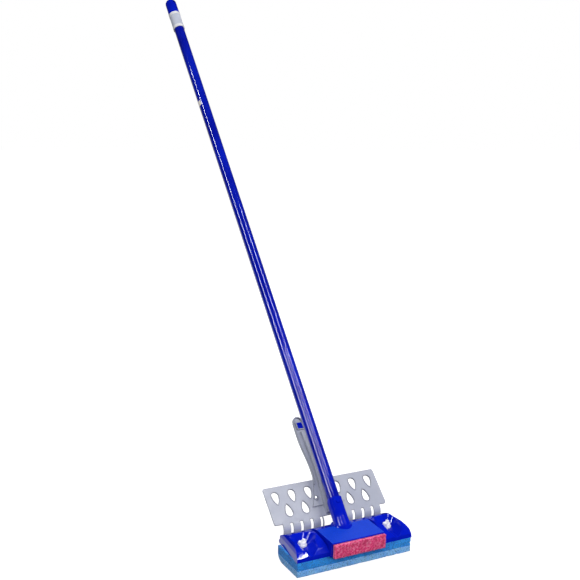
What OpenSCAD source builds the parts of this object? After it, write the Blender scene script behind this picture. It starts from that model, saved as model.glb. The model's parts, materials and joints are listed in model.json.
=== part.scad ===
// Sponge mop with a flip-over wringer: a long tube, a two-bay head with a screwed-on sponge block,
// a scrub pad on the head's nose, and a hinged wringer plate with its own lever.
// Origin: centre of the sponge's underside. +X along the head, the scrub pad faces -Y, +Z up.

/* [Sponge] */
// Length of the sponge, along the head
sponge_l = 229; // [215:1:240]
// Width of the sponge, front to back
sponge_w = 73.4; // [72:0.2:73.4]
// Height of both sponge layers together
sponge_h = 27.2; // [27:0.1:27.4]
// Height of the pale lower layer
lower_layer_h = 11.5; // [9:0.5:14]

/* [Pole] */
// Outer diameter of the tube
pole_d = 22.9; // [22.4:0.1:23.2]
// Wall of the tube
pole_wall = 0.8; // [0.6:0.1:1.2]
// Tip of the hang cap, along the pole from the plane of the sponge's underside
pole_reach = 1365.5; // [1000:1:1500]
// Lean of the pole from upright
pole_tilt = 42.1; // [41.5:0.1:42.5]
// Length of the domed hang cap
cap_l = 45.5; // [40:0.5:50]
// Length of the white collar below the cap
collar_l = 47; // [40:1:60]

/* [Head] */
// Half length of the head at its front edge
head_front_x = 115.4; // [112:0.1:118]
// Half length of the head at its rear edge
head_rear_x = 108.1; // [108:0.1:112]
// Height of the crown of the two bays
head_crown_z = 53; // [52:0.1:54]
// Half width of the flat top of the centre block
block_top_x = 51; // [48:0.5:54]
// Distance of each wing nut from the centre
nut_x = 86; // [84:0.5:88]
// Turn of the wing nuts as they were left
nut_turn = 24; // [0:1:180]

/* [Wringer] */
// Length of the wringer plate
plate_l = 230.6; // [226:0.2:236]
// Height of the wringer plate
plate_h = 70.7; // [68:0.1:74]
// Thickness of the wringer plate
plate_t = 2.4; // [2:0.1:2.8]
// Slope of the folded-up plate above horizontal
plate_slope = 41.5; // [41:0.1:42]
// Length of the lever, from its foot on the plate to its tip
lever_l = 180; // [150:1:200]

/* [Hidden] */
$fn = 64;

// Colours
BLUE = [0.05, 0.08, 0.72];
GREY = [0.66, 0.67, 0.74];
WHITE = [0.93, 0.93, 0.96];
STEEL = [0.72, 0.73, 0.75];

// Fits
clear = 0.03;          // running clearance of a shaft in its bore, each side
gap = 0.4;             // clearance beside a moving part

// Pole, measured along its own axis from the plane of the sponge's underside
pole_foot_y = -35.7;   // where that axis meets the plane
pole_r = pole_d / 2;
tube_from = 54;
cap_from = pole_reach - cap_l;
collar_from = cap_from - collar_l;
tube_to = cap_from + 14;
socket_bore_r = pole_r + clear;
socket_rim = 120;
socket_r = 14;
root_r = 15;            // where the socket grows out of its flared root
button_at = socket_rim - 10;
button_w = 7.6;        // across the pole
button_h = 4.2;        // along the pole
button_slack = 0.3;
button_proud = 1.0;
label_at = 1044;
hang_hole_r = 4;
hang_hole_at = pole_reach - 12.5;
hang_hole_turn = 20;
cap_r = 13.3;
collar_r = 13.2;

// Head
head_z = sponge_h;     // underside of the head
head_rear_y = 42.8;
nose_y = -41.6;        // front of the centre block
block_z = 53;
block_foot_x = 53.6;   // half width of the centre block at its foot
root_y = 11.5;         // centre of the flare round the foot of the socket
end_shoulder_z = 40;   // where the end faces stop and the bays roll over
end_turn = atan((head_front_x - head_rear_x) / (head_rear_y + 37));
end_mid_x = (head_front_x + head_rear_x) / 2;
end_mid_y = (head_rear_y - 37) / 2;
dish_floor_z = 36.5;
dish_floor_r = 8.6;
dish_rim_r = 25;
dish_top_z = 54;
valley_fall = 5.5;     // slope of the valley's floor, down to the front
valley_floor_x = 1.5;
valley_bend_x = 14.5;  // half width of the valley where its sides get steeper
valley_bend_h = 10;
valley_rim_x = 21;
valley_rim_h = 24;
groove_floor_z = 37.5; // groove between each bay and the centre block
nut_y = 0.5;

// Screwed joint between head and sponge
stud_r = 3;
stud_head_r = 6;
stud_head_h = 1.5;
backing_t = 2;
washer_t = 1.2;
nut_z = dish_floor_z + washer_t + 0.1;
nut_hub_h = 6;
nut_h = 9.6;
wing_x = 5;            // middle of each wing from the axis
wing_r = 3.4;
wing_t = 5.4;

// Scrub pad, pressed by hand onto its hook strip
scrub_l = 103.4;
scrub_w = 25;
scrub_t = 6.8;
scrub_x = 1.2;

// Hinge: its axis runs along X behind the head
hinge_y = 42;
hinge_z = 30;
rod_r = 2;
barrel_r = 4;
finger_w = 14.2;
finger_pitch = 20;
finger_first_x = 33;
finger_t = 2.2;
finger_xs = [for (side = [-1, 1], i = [0:3]) side * (finger_first_x + i * finger_pitch)];
web_x = 20;            // thin outer webs of the opening behind the socket
web_w = 2;
slot_front_y = hinge_y - barrel_r - gap;
plug_r = 2.5;
plug_l = 4;
rod_half = head_rear_x - plug_l - 0.6;

// Wringer plate, in its own frame: s up the plate, n out of it towards the pole
plate_s = 22.6;        // lower edge of the plate
plate_n = 15.1;        // its back face
plate_front_n = plate_n + plate_t;
plate_corner_r = 3.6;
drop_w = 13.5;         // width of the drop-shaped drain holes
drop_h = 24;
drop_lip_w = 1;        // raised lip round each drain hole
drop_lip_h = 0.9;
upper_drops_x = [-96, -63, -30, 30, 63, 96];
lower_drops_x = [-79.5, -46.5, 46.5, 79.5];
upper_drops_v = 53.8;
lower_drops_v = 18.2;

// Lever
lever_s = plate_s + 19.4;
lever_t = 2.6;
lever_rib_t = 7;
lever_screw_x = 20.6;
lever_screw_s = 57;
lever_plug_s = 203;
lever_plug_x = 0.6;

// Places its children along the pole: Z runs up the pole, -Y is its front
module on_pole(along = 0) {
    translate([0, pole_foot_y, 0]) rotate([-pole_tilt, 0, 0]) translate([0, 0, along]) children();
}

// Places its children in the plate's frame: X along the hinge, Y up the plate, Z out of it
module on_plate() {
    translate([0, hinge_y, hinge_z]) rotate([plate_slope, 0, 0]) children();
}

// Extrudes a side view, drawn as [y, z], along X
module along_x(length) {
    rotate([90, 0, 90]) linear_extrude(length, center = true) children();
}

// A ring around Z
module ring(outer, inner, length) {
    difference() {
        cylinder(h = length, r = outer);
        translate([0, 0, -1]) cylinder(h = length + 2, r = inner);
    }
}

// A flat rectangle with round corners, centred in X and standing on Y = 0
module rounded_plate_2d(length, height, r) {
    translate([-length / 2, r]) square([length, height - 2 * r]);
    translate([-length / 2 + r, 0]) square([length - 2 * r, height]);
    for (x = [-length / 2 + r, length / 2 - r], y = [r, height - r]) translate([x, y]) circle(r);
}

// A drop: a round end at the origin and two arcs that meet in a point above it, widened by grow
module drop_2d(grow = 0) {
    r = drop_w / 2;
    reach = drop_h - r;
    flank_r = (reach * reach + r * r) / (2 * r);
    circle(r + grow);
    intersection() {
        translate([-r - grow, 0]) square([drop_w + 2 * grow, reach + 4 * grow]);
        translate([flank_r - r, 0]) circle(flank_r + grow, $fn = 128);
        translate([r - flank_r, 0]) circle(flank_r + grow, $fn = 128);
    }
}

// Every drain hole's outline, on the plate
module drops_2d(grow = 0) {
    for (x = upper_drops_x) translate([x, plate_s + upper_drops_v]) mirror([0, 1]) drop_2d(grow);
    for (x = lower_drops_x) translate([x, plate_s + lower_drops_v]) drop_2d(grow);
}

module pole_tube() {
    color(BLUE) on_pole() difference() {
        translate([0, 0, tube_from]) ring(pole_r, pole_r - pole_wall, tube_to - tube_from);
        button_window(button_slack);
    }
}

// The opening for the lock button, through the front of the tube and the socket
module button_window(slack) {
    w = button_w + 2 * slack;
    h = button_h + 2 * slack;
    translate([-w / 2, -socket_r - 5, button_at - h / 2]) cube([w, 12, h]);
}

module pole_button() {
    top = socket_r + button_proud;
    color(BLUE) on_pole(button_at) translate([-button_w / 2, -top, -button_h / 2])
        cube([button_w, top - pole_r + 2.6, button_h]);
}

// Spring leaf behind the button, inside the tube
module button_leaf() {
    color(STEEL) on_pole(button_at) translate([-2.5, 2.6 - pole_r, -30]) cube([5, 0.6, 36]);
}

module hang_cap() {
    dome = 11;
    hole_l = 2 * cap_r + 2;
    color(BLUE) on_pole() difference() {
        rotate_extrude() polygon(concat(
            [[0, cap_from], [cap_r, cap_from], [cap_r, cap_from + 2.5], [cap_r - 0.5, cap_from + 3]],
            [for (a = [0:10:90]) [cap_r - 0.6 - dome + dome * cos(a), pole_reach - dome + dome * sin(a)]],
            [[0, pole_reach]]));
        translate([0, 0, cap_from - 1]) cylinder(h = tube_to - cap_from + 1.2, r = socket_bore_r);
        translate([0, 0, hang_hole_at]) rotate([90, 0, hang_hole_turn])
            cylinder(h = hole_l, r = hang_hole_r, center = true);
    }
}

module cap_collar() {
    color(WHITE) on_pole(collar_from) difference() {
        cylinder(h = collar_l - 0.1, r = collar_r);
        translate([0, 0, -1]) cylinder(h = collar_l + 2, r = socket_bore_r);
        translate([0, 0, 7]) ring(collar_r + 1, collar_r - 1, collar_l - 14);
    }
}

// Plain sleeve in the collar's groove
module collar_band() {
    color([0.82, 0.83, 0.90]) on_pole(collar_from + 7.2) ring(collar_r - 0.35, collar_r - 0.97, collar_l - 14.4);
}

// Small blank sticker on the left of the tube
module pole_label() {
    color([0.95, 0.9, 0.85]) on_pole(label_at - 6.5) intersection() {
        ring(pole_r + 0.14, pole_r + 0.01, 13);
        rotate([0, 0, 180]) translate([0, -3, -1]) cube([20, 9.8, 20]);
    }
}

// Side view of the two bays, drawn as [y, z]
module bay_side_2d() {
    polygon([[-37, head_z], [-36.3, 34.2], [-29.6, 42.6], [-18, 48.2], [-10, 51.2], [-3, 52.7],
             [3, head_crown_z], [10, 52.6], [18, 51.2], [27, 48.4], [35, 45], [40, 42.6],
             [head_rear_y, 40.4], [head_rear_y, head_z]]);
}

// Front view of the head's right end, drawn as [x, z] about the middle of the end face
module end_view_2d() {
    polygon([[-250, 0], [0, 0], [0, head_z], [-0.7, end_shoulder_z], [-2.6, end_shoulder_z + 5.8],
             [-5.2, end_shoulder_z + 9.8], [-9, head_crown_z - 0.4], [-14, head_crown_z + 1.5], [-250, 80]]);
}

module end_cut(side) {
    scale([side, 1, 1]) translate([end_mid_x, end_mid_y, 0]) rotate([90, 0, end_turn])
        linear_extrude(120, center = true) end_view_2d();
}

// Funnel round a wing nut, with a valley to the front so that fingers can reach the wings
module dish(side) {
    depth = dish_top_z - dish_floor_z;
    translate([side * nut_x, nut_y, dish_floor_z]) {
        cylinder(h = depth, r1 = dish_floor_r, r2 = dish_rim_r);
        rotate([90 + valley_fall, 0, 0]) linear_extrude(60)
            polygon([[-valley_floor_x, 0], [valley_floor_x, 0], [valley_bend_x, valley_bend_h],
                     [valley_rim_x, valley_rim_h], [-valley_rim_x, valley_rim_h],
                     [-valley_bend_x, valley_bend_h]]);
    }
}

// Centre block that carries the scrub pad in front and the socket behind
module centre_block() {
    intersection() {
        along_x(160) polygon([[nose_y, head_z], [nose_y, block_z - 2.2], [nose_y - 2.6, block_z - 1.6],
                              [nose_y - 2.6, block_z - 0.8], [nose_y - 1.6, block_z], [12, block_z + 0.6],
                              [24, 50.5], [35, 45], [head_rear_y, 40.4], [head_rear_y, head_z]]);
        rotate([90, 0, 0]) linear_extrude(120, center = true)
            polygon([[-block_foot_x, head_z], [-block_foot_x + 0.6, groove_floor_z], [-block_top_x, 80],
                     [block_top_x, 80], [block_foot_x - 0.6, groove_floor_z], [block_foot_x, head_z]]);
    }
}

// Rounded groove beside the centre block
module bay_groove(side) {
    scale([side, 1, 1]) rotate([90, 0, 0]) linear_extrude(120, center = true)
        polygon([[block_top_x - 4, groove_floor_z], [block_foot_x, groove_floor_z],
                 [block_foot_x + 0.8, groove_floor_z + 6], [block_foot_x + 1.8, groove_floor_z + 10],
                 [block_foot_x + 3.6, groove_floor_z + 13.4], [block_foot_x + 6.4, 80],
                 [block_top_x - 4, 80]]);
}

// Socket tube with its flared root, kept above the head's underside
module socket() {
    flare = 6;
    intersection() {
        union() {
            on_pole() rotate_extrude() polygon([
                [0, 30], [root_r, 30], [root_r, 66], [root_r - 0.9, 84], [socket_r, 100],
                [socket_r, socket_rim - 0.6], [socket_r - 0.6, socket_rim], [0, socket_rim]]);
            translate([0, root_y, 0]) rotate_extrude() polygon(concat(
                [[0, head_z], [root_r + flare, head_z]],
                [for (a = [0:15:90]) [root_r + flare * (1 - sin(a)), block_z - 1 + flare * (1 - cos(a))]],
                [[0, block_z - 1 + flare]]));
        }
        translate([-60, -40, head_z]) cube([120, head_rear_y + 40, 120]);
    }
}

// Eyes for the hinge rod, in one bar that the finger slots then divide
module hinge_bar() {
    translate([0, hinge_y, hinge_z]) rotate([0, 90, 0]) cylinder(h = 2 * head_rear_x - 1, r = barrel_r, center = true);
}

module finger_slot(x, width) {
    w = width + 2 * gap;
    translate([x - w / 2, slot_front_y, head_z - 10]) cube([w, 30, 60]);
}

// Hollows in the underside, closed by the sponge's backing plate
module underside_pockets() {
    for (side = [-1, 1], x = [43, 61]) translate([side * x - 7.5, -31, head_z - 1]) cube([15, 60, 6.5]);
}

module head_body() {
    color(BLUE) difference() {
        union() {
            difference() {
                intersection() {
                    along_x(250) bay_side_2d();
                    end_cut(1);
                    end_cut(-1);
                }
                bay_groove(1);
                bay_groove(-1);
            }
            centre_block();
            socket();
            hinge_bar();
        }
        for (side = [-1, 1]) {
            dish(side);
            translate([side * nut_x, nut_y, head_z - 1]) cylinder(h = 20, r = stud_r + gap);
        }
        for (x = finger_xs) finger_slot(x, finger_w);
        for (side = [-1, 1]) finger_slot(side * web_x, web_w);
        translate([0, hinge_y, hinge_z]) rotate([0, 90, 0]) {
            cylinder(h = 2 * rod_half + 0.4, r = rod_r + 0.02, center = true);
            for (end = [0, 1]) mirror([0, 0, end]) translate([0, 0, rod_half + 0.2])
                cylinder(h = 20, r = plug_r + 0.02);
        }
        on_pole(tube_from - 0.1) cylinder(h = 90, r = socket_bore_r);
        on_pole() button_window(button_slack);
        underside_pockets();
        // cuts away whatever reaches below the head, apart from the hinge eyes
        translate([-150, -60, head_z - 20]) cube([300, 60 + slot_front_y, 20]);
    }
}

module hinge_rod() {
    color(STEEL) translate([0, hinge_y, hinge_z]) rotate([0, 90, 0])
        cylinder(h = 2 * rod_half, r = rod_r, center = true);
}

module rod_plug(side) {
    color(BLUE) translate([side * (rod_half + 0.3), hinge_y, hinge_z]) rotate([0, side * 90, 0])
        cylinder(h = plug_l, r = plug_r);
}

module sponge_upper() {
    half = sponge_w / 2;
    color([0.16, 0.50, 0.85]) difference() {
        translate([-sponge_l / 2, -half, lower_layer_h])
            cube([sponge_l, sponge_w, sponge_h - lower_layer_h]);
        translate([-sponge_l / 2 + 4, -half + 4, sponge_h - backing_t])
            cube([sponge_l - 8, sponge_w - 8, backing_t + 1]);
        for (side = [-1, 1]) translate([side * nut_x, nut_y, sponge_h - backing_t - stud_head_h])
            cylinder(h = 5, r = stud_head_r + 0.1);
    }
}

module sponge_lower() {
    half = sponge_w / 2;
    color([0.45, 0.68, 0.93]) along_x(sponge_l)
        polygon([[-half, 1], [-half + 1, 0], [half - 18, 0], [half - 11, 1], [half - 5, 3.8],
                 [half - 1.4, 7.6], [half, lower_layer_h], [-half, lower_layer_h]]);
}

module sponge_backing() {
    color(WHITE) difference() {
        translate([-sponge_l / 2 + 4.2, -sponge_w / 2 + 4.2, sponge_h - backing_t])
            cube([sponge_l - 8.4, sponge_w - 8.4, backing_t]);
        for (side = [-1, 1]) translate([side * nut_x, nut_y, 0]) cylinder(h = 40, r = stud_r + 0.1);
    }
}

module stud(side) {
    color(WHITE) translate([side * nut_x, nut_y, sponge_h - backing_t]) {
        translate([0, 0, -stud_head_h]) cylinder(h = stud_head_h, r = stud_head_r);
        cylinder(h = 18.5, r = stud_r);
    }
}

module washer(side) {
    color(WHITE) translate([side * nut_x, nut_y, dish_floor_z]) ring(8, stud_r + 0.2, washer_t);
}

module wing_nut(side) {
    turn = side > 0 ? nut_turn + 16 : nut_turn;
    color(WHITE) translate([side * nut_x, nut_y, nut_z]) rotate([0, 0, turn]) difference() {
        union() {
            rotate_extrude() polygon([[0, 0], [8.2, 0], [8.2, 1.8], [7.2, 3], [6.4, nut_hub_h], [0, nut_hub_h]]);
            rotate([90, 0, 0]) linear_extrude(wing_t, center = true) difference() {
                union() {
                    polygon([[-7.4, 1], [7.4, 1], [wing_x + wing_r, nut_h - wing_r],
                             [-wing_x - wing_r, nut_h - wing_r]]);
                    for (x = [-wing_x, wing_x]) translate([x, nut_h - wing_r]) circle(wing_r);
                }
                translate([0, nut_h + 0.8]) circle(2.8);
            }
        }
        translate([0, 0, -1]) cylinder(h = 30, r = stud_r + clear);
    }
}

module scrub_hook_strip() {
    color([0.15, 0.15, 0.2]) translate([-46, nose_y - 0.8, 29.5]) cube([92, 0.8, 20]);
}

module scrub_pad() {
    color([0.85, 0.18, 0.38]) translate([0, nose_y - 0.8, 0]) rotate([90, 0, 0])
        linear_extrude(scrub_t) translate([scrub_x, 25.8]) rounded_plate_2d(scrub_l, scrub_w, 3);
}

// Side view of a finger, drawn as [y, z] from the hinge axis: down from the plate and round a bend
module finger_2d() {
    bend_r = 12;
    half = finger_t / 2;
    corner = [0.3, 22.2];                 // where plate and finger would meet without the bend
    tangent = bend_r * tan((90 - plate_slope) / 2);
    centre = [corner[0] + bend_r, corner[1] - tangent];
    start = [corner[0] + tangent * cos(plate_slope), corner[1] + tangent * sin(plate_slope)];
    translate(centre) intersection() {
        difference() {
            circle(bend_r + half, $fn = 96);
            circle(bend_r - half, $fn = 96);
        }
        polygon([[0, 0], [-20, 0], [-20, 30], [20 * cos(90 + plate_slope), 20 * sin(90 + plate_slope)]]);
    }
    translate([corner[0] - half, 0]) square([finger_t, centre[1] + 0.01]);
    translate(start) rotate(plate_slope) translate([-0.02, -half]) square([7, finger_t]);
}

module finger(x, width) {
    translate([x, hinge_y, hinge_z]) along_x(width) difference() {
        union() {
            finger_2d();
            circle(barrel_r);
        }
        circle(rod_r + clear);
    }
}

module wringer_plate() {
    color(GREY) {
        on_plate() translate([0, 0, plate_n]) difference() {
            union() {
                linear_extrude(plate_t) translate([0, plate_s]) rounded_plate_2d(plate_l, plate_h, plate_corner_r);
                linear_extrude(plate_t + drop_lip_h) drops_2d(drop_lip_w);
            }
            translate([0, 0, -1]) linear_extrude(plate_t + drop_lip_h + 2) drops_2d();
        }
        for (x = finger_xs) finger(x, finger_w);
        for (side = [-1, 1]) finger(side * web_x, web_w);
    }
}

// Plan of the lever, drawn as [x, s]: a flared foot, a slim waist and a round-ended grip
function lever_half(s) = s < 97 ? 13.6 + 19 * pow((97 - s) / 55, 1.6)
                                : 11.8 + 1.2 * cos((s - 171) * 360 / 100);
lever_tip_r = 9.9;
module lever_2d(inset = 0, from = lever_s) {
    tip = lever_s + lever_l - lever_tip_r;
    right = [for (s = [from:8:tip]) [lever_half(s) - inset, s]];
    left = [for (i = [len(right) - 1:-1:0]) [-right[i][0], right[i][1]]];
    polygon(concat(right, [[lever_tip_r - inset, tip]], [[inset - lever_tip_r, tip]], left));
    translate([0, tip]) circle(lever_tip_r - inset);
}

module wringer_lever() {
    color(GREY) on_plate() translate([0, 0, plate_front_n]) difference() {
        union() {
            linear_extrude(lever_t) lever_2d();
            // side lips of the grip
            linear_extrude(lever_t + 3) difference() {
                lever_2d(0, 82);
                lever_2d(1.8, 70);
            }
            // raised middle that runs from the foot into the grip
            linear_extrude(lever_rib_t) polygon([[-11, plate_s + 3], [11, plate_s + 3], [11, lever_s + 4], [5, 96],
                                                 [2.6, 120], [2.4, 190], [-2.4, 190], [-2.6, 120], [-5, 96],
                                                 [-11, lever_s + 4]]);
            for (side = [-1, 1]) translate([side * lever_screw_x, lever_screw_s]) cylinder(h = 4.2, r = 4.6);
            // pad that holds the plug
            translate([lever_plug_x - 7.2, lever_plug_s - 8, 0]) cube([14.4, 16, lever_t + 3]);
        }
        for (side = [-1, 1]) translate([side * lever_screw_x, lever_screw_s, -1]) cylinder(h = 9, r = 1.6);
        translate([lever_plug_x - 5.4, lever_plug_s - 6.2, 1]) cube([10.8, 12.4, 20]);
    }
}

module lever_screw(side) {
    color(STEEL) on_plate() translate([side * lever_screw_x, lever_screw_s, plate_front_n]) {
        cylinder(h = 4.2, r = 1.5);
        translate([0, 0, 4.2]) difference() {
            rotate_extrude() polygon([[0, 0], [3.2, 0], [3, 0.9], [2.2, 1.6], [0, 1.9]]);
            for (a = [0, 90]) rotate(a) translate([-2, -0.35, 1]) cube([4, 0.7, 2]);
        }
    }
}

module lever_plug() {
    color(BLUE) on_plate() translate([lever_plug_x - 5.3, lever_plug_s - 6.1, plate_front_n + 1]) {
        cube([10.6, 12.2, 5.2]);
        translate([1.8, 7.6, 5.2]) cube([7, 3, 1.4]);
    }
}

pole_tube();
hang_cap();
cap_collar();
collar_band();
pole_label();
head_body();
hinge_rod();
rod_plug(-1);  // rod_plug_left
rod_plug(1);  // rod_plug_right
sponge_upper();
sponge_lower();
sponge_backing();
stud(-1);  // stud_left
stud(1);  // stud_right
washer(-1);  // washer_left
washer(1);  // washer_right
scrub_hook_strip();
scrub_pad();
wringer_plate();
wringer_lever();
lever_screw(-1);  // lever_screw_left
lever_screw(1);  // lever_screw_right
lever_plug();
wing_nut(-1);  // wing_nut_left
wing_nut(1);  // wing_nut_right
pole_button();
button_leaf();
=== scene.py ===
import math
import json
import random

import bpy
import bmesh
from mathutils import Matrix, Vector, noise


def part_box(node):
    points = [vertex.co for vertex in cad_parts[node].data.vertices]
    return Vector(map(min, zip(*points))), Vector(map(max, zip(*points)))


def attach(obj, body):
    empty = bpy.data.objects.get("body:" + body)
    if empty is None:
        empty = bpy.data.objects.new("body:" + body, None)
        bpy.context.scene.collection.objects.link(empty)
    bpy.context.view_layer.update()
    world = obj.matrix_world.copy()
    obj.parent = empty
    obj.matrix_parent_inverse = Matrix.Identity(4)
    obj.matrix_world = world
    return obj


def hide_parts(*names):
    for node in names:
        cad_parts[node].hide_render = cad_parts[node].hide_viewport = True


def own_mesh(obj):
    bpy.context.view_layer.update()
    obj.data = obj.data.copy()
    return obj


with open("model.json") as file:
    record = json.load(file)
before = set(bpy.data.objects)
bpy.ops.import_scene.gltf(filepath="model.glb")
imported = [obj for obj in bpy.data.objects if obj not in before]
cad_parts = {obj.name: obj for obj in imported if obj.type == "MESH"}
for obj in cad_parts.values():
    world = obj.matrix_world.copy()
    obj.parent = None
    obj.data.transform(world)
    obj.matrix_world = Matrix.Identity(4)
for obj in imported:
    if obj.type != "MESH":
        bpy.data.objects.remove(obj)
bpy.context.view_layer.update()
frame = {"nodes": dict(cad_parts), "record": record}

MM = 0.001
POLE_TILT = math.radians(42.1)               # lean of the tube from upright
POLE_FOOT = Vector((0, -35.7, 0)) * MM       # where the tube's axis meets the floor
POLE_UP = Vector((0, math.sin(POLE_TILT), math.cos(POLE_TILT)))
BLOCK_HALF = 52 * MM                         # half width of the centre block's rougher top, which is painted paler as a painted sky reflection
BLOCK_TOP = 51 * MM                          # a little below that top
BLOCK_OVER = 61 * MM                         # and a little above it
PLASTIC_IOR = 1.49
EDGE_SHADE_WIDTH = 1.3 * MM                        # how far the wringer's painted edge shade reaches from an edge
EDGE_ANGLE = math.radians(22)                # sharper edges than this are rounded
MOP_MIDDLE = (0, 0.1, 0.1)                   # what the soft lights point at, in metres
STRIP_DISTANCE = 1.9                         # from the tube to a strip light, in metres
WINDOW_TARGET = (-0.086, -0.03, 0.04)        # front slope of the left bay, in metres


# ---------------------------------------------------------------- materials

class Nodes:
    """Short way to write a node tree."""

    def __init__(self, name):
        self.material = bpy.data.materials.new(name)
        self.material.use_nodes = True
        self.tree = self.material.node_tree
        self.shader = self.tree.nodes["Principled BSDF"]
        self.place = self.add("ShaderNodeTexCoord").outputs["Object"]

    def add(self, kind, inputs=None):
        node = self.tree.nodes.new(kind)
        for key, value in (inputs or {}).items():
            if isinstance(value, bpy.types.NodeSocket):
                self.tree.links.new(value, node.inputs[key])
            else:
                node.inputs[key].default_value = value
        return node

    def noise(self, scale, detail=3.0, rough=0.5, place=None):
        return self.add("ShaderNodeTexNoise", {"Vector": place or self.place, "Scale": scale,
                                               "Detail": detail, "Roughness": rough}).outputs["Fac"]

    def cells(self, scale):
        return self.add("ShaderNodeTexVoronoi", {"Vector": self.place, "Scale": scale}).outputs["Distance"]

    def ramp(self, value, *stops):
        node = self.add("ShaderNodeValToRGB", {"Fac": value})
        band = node.color_ramp
        while len(band.elements) < len(stops):
            band.elements.new(0.5)
        for element, (where, colour) in zip(band.elements, stops):
            element.position = where
            element.color = (*colour, 1.0)
        return node.outputs["Color"]

    def span(self, value, low, high, out_low, out_high):
        return self.add("ShaderNodeMapRange", {"Value": value, "From Min": low, "From Max": high,
                                               "To Min": out_low, "To Max": out_high}).outputs["Result"]

    def mix(self, factor, a, b):
        node = self.tree.nodes.new("ShaderNodeMix")
        node.data_type = "RGBA"
        for socket, value in ((node.inputs[0], factor), (node.inputs[6], a), (node.inputs[7], b)):
            if isinstance(value, bpy.types.NodeSocket):
                self.tree.links.new(value, socket)
            elif isinstance(value, tuple):
                socket.default_value = (*value, 1.0)
            else:
                socket.default_value = value
        return node.outputs[2]

    def math(self, operation, a, b):
        node = self.tree.nodes.new("ShaderNodeMath")
        node.operation = operation
        for socket, value in zip(node.inputs, (a, b)):
            if isinstance(value, bpy.types.NodeSocket):
                self.tree.links.new(value, socket)
            else:
                socket.default_value = value
        return node.outputs[0]

    def bump(self, height, strength, distance):
        node = self.add("ShaderNodeBump", {"Height": height, "Strength": strength, "Distance": distance})
        self.tree.links.new(node.outputs["Normal"], self.shader.inputs["Normal"])

    def set(self, **sockets):
        for key, value in sockets.items():
            socket = self.shader.inputs[key.replace("_", " ")]
            if isinstance(value, bpy.types.NodeSocket):
                self.tree.links.new(value, socket)
            elif isinstance(value, tuple):
                socket.default_value = (*value, 1.0)
            else:
                socket.default_value = value


def plastic(name, colour, dark, rough):
    """Moulded plastic: slight flow marks in the colour, a fine grain and uneven gloss."""
    m = Nodes(name)
    flow = m.noise(28, 4, 0.55)
    m.set(Base_Color=m.mix(m.span(flow, 0.3, 0.7, 0, 1), dark, colour),
          Roughness=m.span(m.noise(60, 3), 0.3, 0.7, rough * 0.8, rough * 1.25), IOR=PLASTIC_IOR)
    m.bump(m.noise(900, 2), 0.12, 0.0004)
    return m.material


def head_plastic():
    """Glossy moulding whose centre block has a finely etched, rougher top; that top's paler colour is a
    painted sky reflection on the upward face.
    """
    m = Nodes("head_plastic")
    true = m.add("ShaderNodeNewGeometry").outputs["True Normal"]
    normal = m.add("ShaderNodeSeparateXYZ", {0: true}).outputs
    spot = m.add("ShaderNodeSeparateXYZ", {0: m.place}).outputs
    across = m.math("ABSOLUTE", spot["X"], 0)
    inside = m.span(across, BLOCK_HALF - MM / 2, BLOCK_HALF + MM / 2, 1, 0)
    top = m.math("MULTIPLY", m.span(normal["Z"], 0.97, 0.99, 0, 1), inside)
    top = m.math("MULTIPLY", top, m.span(spot["Z"], BLOCK_TOP - MM, BLOCK_TOP + MM / 2, 0, 1))
    top = m.math("MULTIPLY", top, m.span(spot["Z"], BLOCK_OVER - MM, BLOCK_OVER + MM, 1, 0))
    gloss = m.mix(m.span(m.noise(28, 4, 0.55), 0.3, 0.7, 0, 1), (0.001, 0.008, 0.46), (0.001, 0.013, 0.58))
    # painted reflection: the upward block top is painted paler and greener, as the sky light would show on
    # it; its fine grain, roughness and weaker gloss are the etched finish
    etched_grain_and_sky_reflection = m.mix(m.span(m.noise(700, 3), 0.35, 0.65, 0, 1), (0.001, 0.038, 0.54), (0.002, 0.058, 0.70))
    m.set(Base_Color=m.mix(top, gloss, etched_grain_and_sky_reflection), Roughness=m.span(top, 0, 1, 0.035, 0.45),
          Specular_IOR_Level=m.span(top, 0, 1, 0.5, 0.15), IOR=PLASTIC_IOR)
    m.bump(m.noise(120, 2), 0.05, 0.0003)
    return m.material


def grey_plastic():
    """The wringer's satin plastic; its edges are painted dark, a painted shade that draws dark outlines along
    them.
    """
    m = Nodes("wringer_plastic")
    soft = m.add("ShaderNodeBevel", {"Radius": EDGE_SHADE_WIDTH}).outputs["Normal"]
    true = m.add("ShaderNodeNewGeometry").outputs["True Normal"]
    facing = m.add("ShaderNodeVectorMath", {0: soft, 1: true})
    facing.operation = "DOT_PRODUCT"
    # painted shade: where the rounded normal turns away from the true normal, near an edge, the colour is
    # mixed toward near-black grey
    edge = m.span(facing.outputs["Value"], 0.80, 0.985, 0.75, 0)
    flow = m.mix(m.span(m.noise(28, 4, 0.55), 0.3, 0.7, 0, 1), (0.36, 0.38, 0.47), (0.41, 0.43, 0.52))
    m.set(Base_Color=m.mix(edge, flow, (0.07, 0.075, 0.10)),
          Roughness=m.span(m.noise(60, 3), 0.3, 0.7, 0.28, 0.42), IOR=PLASTIC_IOR)
    m.bump(m.noise(900, 2), 0.12, 0.0004)
    return m.material


def tube_paint():
    m = Nodes("tube_paint")
    run = m.add("ShaderNodeMapping", {"Vector": m.place, "Rotation": (POLE_TILT, 0, 0)}).outputs["Vector"]
    m.set(Base_Color=m.mix(m.span(m.noise(14, 3, place=run), 0.35, 0.65, 0, 1),
                           (0.001, 0.006, 0.36), (0.002, 0.013, 0.50)),
          Roughness=m.span(m.noise(90, 2), 0.3, 0.7, 0.05, 0.09), Coat_Weight=0.4, Coat_Roughness=0.02)
    m.bump(m.noise(500, 2), 0.02, 0.0001)
    return m.material


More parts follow.
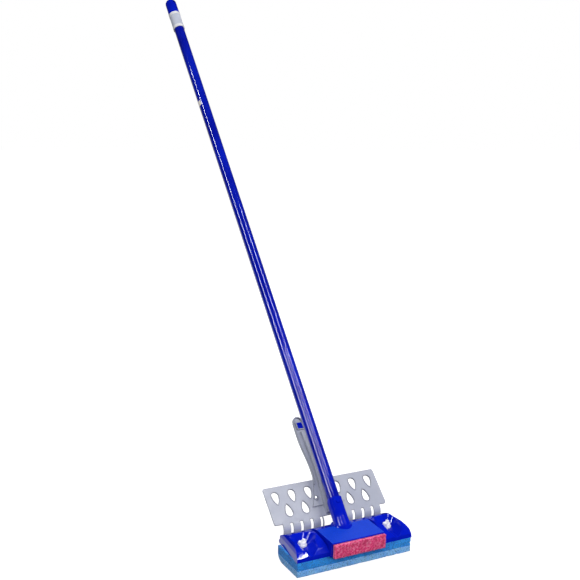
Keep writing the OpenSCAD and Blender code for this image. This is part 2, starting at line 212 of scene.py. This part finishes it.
def foam(name, dark, light):
    m = Nodes(name)
    pore = m.cells(800)
    big = m.cells(300)
    tone = m.mix(m.span(m.noise(70, 5, 0.6), 0.35, 0.65, 0, 1), dark, light)
    # painted shade: the pore cells are painted darker, down to a third of the dark tone, as shade inside the
    # pores
    m.set(Base_Color=m.mix(m.span(m.math("MINIMUM", pore, big), 0.14, 0.42, 0.85, 0), tone,
                           tuple(c * 0.35 for c in dark)),
          Roughness=m.span(m.noise(80, 2), 0.3, 0.7, 0.85, 1.0), Sheen_Weight=0.08, Sheen_Roughness=0.6)
    m.bump(m.math("ADD", pore, m.math("MULTIPLY", m.noise(300, 4), 0.6)), 0.7, 0.0012)
    return m.material


def scrub_fibre():
    m = Nodes("scrub_fibre")
    strands = m.noise(260, 6, 0.75)
    blotch = m.noise(75, 4, 0.6)
    # painted highlight: the raised strands, where the bump is high, are painted pale pink; the low ones are
    # darker
    strand_tone_and_highlight = m.ramp(strands, (0.36, (0.50, 0.006, 0.09)), (0.50, (1.0, 0.045, 0.26)),
                  (0.62, (1.0, 0.34, 0.58)))
    m.set(Base_Color=m.mix(m.span(blotch, 0.4, 0.62, 0, 0.3), strand_tone_and_highlight, (0.42, 0.012, 0.07)),
          Roughness=m.span(strands, 0.3, 0.7, 0.7, 0.95), Sheen_Weight=0.3, Sheen_Roughness=0.5)
    m.bump(strands, 0.9, 0.0015)
    return m.material


def steel():
    m = Nodes("steel")
    m.set(Base_Color=m.mix(m.noise(80, 3), (0.55, 0.56, 0.58), (0.72, 0.73, 0.75)), Metallic=1.0,
          Roughness=m.span(m.noise(400, 3), 0.3, 0.7, 0.22, 0.36))
    m.bump(m.noise(700, 2), 0.08, 0.0002)
    return m.material


def paper():
    m = Nodes("paper")
    m.set(Base_Color=m.mix(m.noise(220, 4), (0.86, 0.80, 0.74), (0.95, 0.92, 0.88)),
          Roughness=m.span(m.noise(300, 3), 0.3, 0.7, 0.55, 0.7))
    m.bump(m.noise(900, 2), 0.1, 0.0001)
    return m.material


def hook_tape():
    m = Nodes("hook_tape")
    m.set(Base_Color=m.mix(m.cells(800), (0.012, 0.012, 0.02), (0.04, 0.04, 0.06)),
          Roughness=m.span(m.noise(200, 2), 0.3, 0.7, 0.6, 0.8))
    m.bump(m.cells(800), 0.8, 0.0006)
    return m.material


MATERIALS = {
    "tube_paint": tube_paint(),
    "head_plastic": head_plastic(),
    "wringer_plastic": grey_plastic(),
    "white_plastic": plastic("white_plastic", (0.90, 0.90, 0.93), (0.86, 0.86, 0.90), 0.22),
    "band": plastic("band", (0.60, 0.64, 0.76), (0.56, 0.60, 0.72), 0.45),
    "sticker": paper(),
    "steel": steel(),
    "sponge_dark": foam("sponge_dark", (0.010, 0.23, 0.82), (0.030, 0.37, 1.0)),
    "sponge_pale": foam("sponge_pale", (0.16, 0.45, 1.0), (0.27, 0.60, 1.0)),
    "scrub": scrub_fibre(),
    "hook_strip": hook_tape(),
}


def dress_cad():
    """Every CAD node takes its slot's material; the nodes listed in edge get slightly rounded edges."""
    slots = {s["node"]: s["material_slot"] for s in frame["record"]["subparts"]}
    edge = {"head_body": 1.1, "wringer_plate": 0.5, "wringer_lever": 0.7, "wing_nut_left": 0.5,
            "wing_nut_right": 0.5, "lever_plug": 0.4, "pole_button": 0.4}
    for name, node in frame["nodes"].items():
        node.data.materials.clear()
        node.data.materials.append(MATERIALS[slots[name]])
        if name in edge:
            bevel = node.modifiers.new("edge", "BEVEL")
            bevel.width = edge[name] * MM
            bevel.segments = 3
            bevel.limit_method = "ANGLE"
            bevel.angle_limit = EDGE_ANGLE


dress_cad()


# ---------------------------------------------------------------- soft pieces

def fine_block(name, low, high, step, corner):
    """A block of small quads whose edges and corners are rounded to the radius corner."""
    mesh = bpy.data.meshes.new(name)
    bm = bmesh.new()
    size = [high[i] - low[i] for i in range(3)]
    count = [max(2, round(size[i] / step)) for i in range(3)]
    for axis in range(3):
        u, v = [i for i in range(3) if i != axis]
        for end in (0, 1):
            grid = []
            for a in range(count[u] + 1):
                row = []
                for b in range(count[v] + 1):
                    spot = [0.0, 0.0, 0.0]
                    spot[axis] = high[axis] if end else low[axis]
                    spot[u] = low[u] + size[u] * a / count[u]
                    spot[v] = low[v] + size[v] * b / count[v]
                    row.append(bm.verts.new(spot))
                grid.append(row)
            for a in range(count[u]):
                for b in range(count[v]):
                    bm.faces.new((grid[a][b], grid[a + 1][b], grid[a + 1][b + 1], grid[a][b + 1]))
    bmesh.ops.remove_doubles(bm, verts=bm.verts, dist=step * 0.05)
    bmesh.ops.recalc_face_normals(bm, faces=bm.faces)
    for vertex in bm.verts:
        core = Vector([min(max(vertex.co[i], low[i] + corner), high[i] - corner) for i in range(3)])
        out = vertex.co - core
        if out.length > corner:
            vertex.co = core + out.normalized() * corner
    bm.normal_update()
    return mesh, bm


def finish_piece(name, mesh, bm, slot):
    bm.to_mesh(mesh)
    bm.free()
    mesh.shade_smooth()
    piece = bpy.data.objects.new(name, mesh)
    bpy.context.collection.objects.link(piece)
    mesh.materials.append(MATERIALS[slot])
    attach(piece, "mop")
    return piece


def pore_depth(spot, size, share):
    """How deep the foam is pitted at a spot, from 0 to 1; share is how many of the cells are open."""
    near, centres = noise.voronoi(spot / size, distance_metric="DISTANCE")[:2]
    if noise.cell(centres[0] * 7.31) > 2 * share - 1:
        return 0.0
    return max(0.0, 1 - near[0] / 0.45)


def pit(bm, fixed):
    """Presses pores and slow waves into a foam block; fixed says how much a vertex may move."""
    moves = []
    for vertex in bm.verts:
        spot = vertex.co.copy()
        fine = 0.9 * pore_depth(spot, 2.6 * MM, 0.30)
        coarse = 1.5 * pore_depth(spot + Vector((3, 1, 2)), 5.5 * MM, 0.13)
        wave = 0.35 * noise.noise(spot / (17 * MM))
        moves.append(-vertex.normal * (fine + coarse + 0.35 - wave) * MM * fixed(spot))
    for vertex, move in zip(bm.verts, moves):
        vertex.co += move


def rear_reach(z, half):
    """How far back the lower layer reaches at a height: its rear lower edge is rounded off."""
    profile = ((0, 18), (1.0, 11), (3.8, 5), (7.6, 1.4), (11.5, 0))
    for (z0, cut0), (z1, cut1) in zip(profile, profile[1:]):
        if z <= z1 * MM:
            share = max(0.0, (z - z0 * MM) / ((z1 - z0) * MM))
            return half - (cut0 + (cut1 - cut0) * share) * MM
    return half


def sponge_layer(node, name, slot):
    low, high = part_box(node)
    mesh, bm = fine_block(name, low, high, 1.5 * MM, 0.7 * MM)
    half = high[1]
    if node == "sponge_lower":
        for vertex in bm.verts:
            if vertex.co.y > 0:
                vertex.co.y *= rear_reach(vertex.co.z - low[2], half) / half
        bm.normal_update()
    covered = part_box("head_body")[0][2] if node == "sponge_upper" else high[2]

    def fixed(spot):
        glued = node == "sponge_upper" and spot.z < low[2] + 0.2 * MM
        return 0.25 if glued or spot.z > covered - 0.5 * MM else 1.0

    pit(bm, fixed)
    piece = finish_piece(name, mesh, bm, slot)
    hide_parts(node)
    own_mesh(piece)


def scrub_body():
    low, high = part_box("scrub_pad")
    mesh, bm = fine_block("scrub_felt", low, high, 0.8 * MM, 1.6 * MM)
    for vertex in bm.verts:
        rough = noise.fractal(vertex.co / (2.2 * MM), 0.8, 2.1, 3)
        vertex.co += vertex.normal * (0.28 * rough - 0.35) * MM
    piece = finish_piece("scrub_felt", mesh, bm, "scrub")
    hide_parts("scrub_pad")


def scrub_strands(count=1500):
    """Loose strands that lie matted on the pad's front."""
    rng = random.Random(7)
    low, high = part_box("scrub_pad")
    mesh = bpy.data.meshes.new("scrub_strands")
    bm = bmesh.new()
    radius = 0.13 * MM
    margin = 1.2 * MM
    for _ in range(count):
        spot = Vector((rng.uniform(low[0] + margin, high[0] - margin), low[1] + 0.35 * MM,
                       rng.uniform(low[2] + margin, high[2] - margin)))
        heading = rng.uniform(0, 2 * math.pi)
        bend = rng.uniform(-0.5, 0.5)
        rings = []
        for _ in range(6):
            lift = Vector((0, -1, 0)) * rng.uniform(-0.25, 0.35) * MM
            across = Vector((-math.sin(heading), 0, math.cos(heading)))
            rings.append([bm.verts.new(spot + lift + across * radius * c + Vector((0, radius * d, 0)))
                          for c, d in ((1, 0), (-0.5, 0.87), (-0.5, -0.87))])
            spot = spot + Vector((math.cos(heading), 0, math.sin(heading))) * 1.1 * MM
            spot.x = min(max(spot.x, low[0] + 0.3 * MM), high[0] - 0.3 * MM)
            spot.z = min(max(spot.z, low[2] + 0.3 * MM), high[2] - 0.3 * MM)
            heading += bend
        for a, b in zip(rings, rings[1:]):
            for k in range(3):
                bm.faces.new((a[k], a[(k + 1) % 3], b[(k + 1) % 3], b[k]))
        bm.faces.new(rings[0])
        bm.faces.new(rings[-1][::-1])
    bmesh.ops.recalc_face_normals(bm, faces=bm.faces)
    finish_piece("scrub_strands", mesh, bm, "scrub")


sponge_layer("sponge_upper", "foam_upper", "sponge_dark")
sponge_layer("sponge_lower", "foam_lower", "sponge_pale")
scrub_body()
scrub_strands()


# ---------------------------------------------------------------- stage

CAMERA_AT = Vector((-791.3, -1265.8, 770.8)) * MM
CAMERA_ANGLES = (27.86, 11.26, 1.43)         # azimuth, tilt down and roll, in degrees
LENS, SENSOR = 56.7, 36                      # in mm
FLOOR_HALF = 14.0


def build_stage():
    mesh = bpy.data.meshes.new("floor")
    corners = [(x * FLOOR_HALF, y * FLOOR_HALF, 0) for x, y in ((-1, -1), (1, -1), (1, 1), (-1, 1))]
    mesh.from_pydata(corners, [], [(0, 1, 2, 3)])
    floor = bpy.data.objects.new("floor", mesh)
    bpy.context.collection.objects.link(floor)
    m = Nodes("floor")
    m.set(Base_Color=(0.55, 0.55, 0.56), Roughness=0.9, Emission_Color=(1.0, 1.0, 1.0),
          Emission_Strength=0.70)
    mesh.materials.append(m.material)
    floor.visible_glossy = False
    floor.visible_diffuse = False


def build_world():
    """White to the camera, lit from above, and dark to the gloss apart from a bright part low behind."""
    world = bpy.data.worlds.new("studio")
    world.use_nodes = True
    tree = world.node_tree
    background = tree.nodes["Background"]
    path = tree.nodes.new("ShaderNodeLightPath")
    place = tree.nodes.new("ShaderNodeTexCoord")
    behind = tree.nodes.new("ShaderNodeVectorMath")
    behind.operation = "DOT_PRODUCT"
    behind.inputs[1].default_value = (-0.25, 0.85, -0.46)
    tree.links.new(place.outputs["Generated"], behind.inputs[0])
    card = tree.nodes.new("ShaderNodeMapRange")
    for key, value in (("From Min", 0.82), ("From Max", 0.97), ("To Min", 0.02), ("To Max", 1.2)):
        card.inputs[key].default_value = value
    tree.links.new(behind.outputs["Value"], card.inputs["Value"])
    height = tree.nodes.new("ShaderNodeSeparateXYZ")
    tree.links.new(place.outputs["Generated"], height.inputs[0])
    sky = tree.nodes.new("ShaderNodeMapRange")
    for key, value in (("From Min", -0.15), ("From Max", 0.75), ("To Min", 0.10), ("To Max", 0.80)):
        sky.inputs[key].default_value = value
    tree.links.new(height.outputs["Z"], sky.inputs["Value"])
    matte = tree.nodes.new("ShaderNodeMix")
    matte.inputs[3].default_value = 1.0
    tree.links.new(path.outputs["Is Camera Ray"], matte.inputs[0])
    tree.links.new(sky.outputs["Result"], matte.inputs[2])
    gloss = tree.nodes.new("ShaderNodeMix")
    tree.links.new(path.outputs["Is Glossy Ray"], gloss.inputs[0])
    tree.links.new(matte.outputs[0], gloss.inputs[2])
    tree.links.new(card.outputs["Result"], gloss.inputs[3])
    tree.links.new(gloss.outputs[0], background.inputs["Strength"])
    background.inputs["Color"].default_value = (1.0, 1.0, 1.0, 1.0)
    bpy.context.scene.world = world


def seen_in_pole(along, turn):
    """Where a light must be to show in the tube, at a place along it and turned from the camera's side."""
    spot = POLE_FOOT + POLE_UP * along
    view = (CAMERA_AT - spot).normalized()
    lengthwise = view.dot(POLE_UP)
    sideways = Matrix.Rotation(turn, 3, POLE_UP) @ (view - POLE_UP * lengthwise)
    return spot + (sideways - POLE_UP * lengthwise) * STRIP_DISTANCE


def strip_light(name, turn, along, width, power):
    """A long thin light that draws one bright line on the tube between two places along it."""
    start, end = (seen_in_pole(a * MM, math.radians(turn)) for a in along)
    middle = (start + end) / 2
    away = (middle - (POLE_FOOT + POLE_UP * (sum(along) / 2 * MM))).normalized()
    length_axis = (end - start).normalized()
    side = length_axis.cross(away).normalized()
    data = bpy.data.lights.new(name, "AREA")
    data.shape = "RECTANGLE"
    data.size = width
    data.size_y = (end - start).length
    data.energy = power
    light = bpy.data.objects.new(name, data)
    facing = side.cross(length_axis)
    if facing.dot(away) < 0:
        facing, side = -facing, -side
    turned = Matrix((side, length_axis, facing)).transposed().to_4x4()
    light.matrix_world = Matrix.Translation(middle) @ turned
    light.visible_diffuse = False
    bpy.context.collection.objects.link(light)


def soft_light(name, location, target, size, power, glossy=True):
    data = bpy.data.lights.new(name, "AREA")
    data.shape = "RECTANGLE"
    data.size, data.size_y = size
    data.energy = power
    light = bpy.data.objects.new(name, data)
    light.location = location
    light.rotation_euler = (Vector(target) - Vector(location)).to_track_quat("-Z", "Y").to_euler()
    light.visible_glossy = glossy
    bpy.context.collection.objects.link(light)
    return light


def build_lights():
    strip_light("strip_left", -34, (120, 1150), 0.10, 25)
    strip_light("strip_middle", 8, (130, 420), 0.06, 4)
    strip_light("strip_right", 50, (160, 760), 0.09, 12)
    window = soft_light("window", (0.606, -1.0, 1.065), WINDOW_TARGET, (0.36, 0.006), 0.5)
    window.visible_diffuse = False
    soft_light("rear", (1.0, 1.9, 1.3), MOP_MIDDLE, (1.0, 1.0), 14, glossy=False)
    soft_light("key", (-1.2, -1.8, 2.0), MOP_MIDDLE, (1.2, 1.2), 32, glossy=False)
    soft_light("fill", (1.6, -1.6, 1.0), MOP_MIDDLE, (1.0, 1.2), 22, glossy=False)


def build_camera():
    azimuth, elevation, roll = (math.radians(a) for a in CAMERA_ANGLES)
    look = Vector((math.sin(azimuth) * math.cos(elevation), math.cos(azimuth) * math.cos(elevation),
                   -math.sin(elevation)))
    data = bpy.data.cameras.new("camera")
    data.lens = LENS
    data.sensor_width = SENSOR
    camera = bpy.data.objects.new("camera", data)
    turn = look.to_track_quat("-Z", "Y").to_matrix().to_4x4() @ Matrix.Rotation(roll, 4, "Z")
    camera.matrix_world = Matrix.Translation(CAMERA_AT) @ turn
    bpy.context.collection.objects.link(camera)
    bpy.context.scene.camera = camera


bpy.context.scene.view_settings.view_transform = "Standard"
build_stage()
build_world()
build_lights()
build_camera()
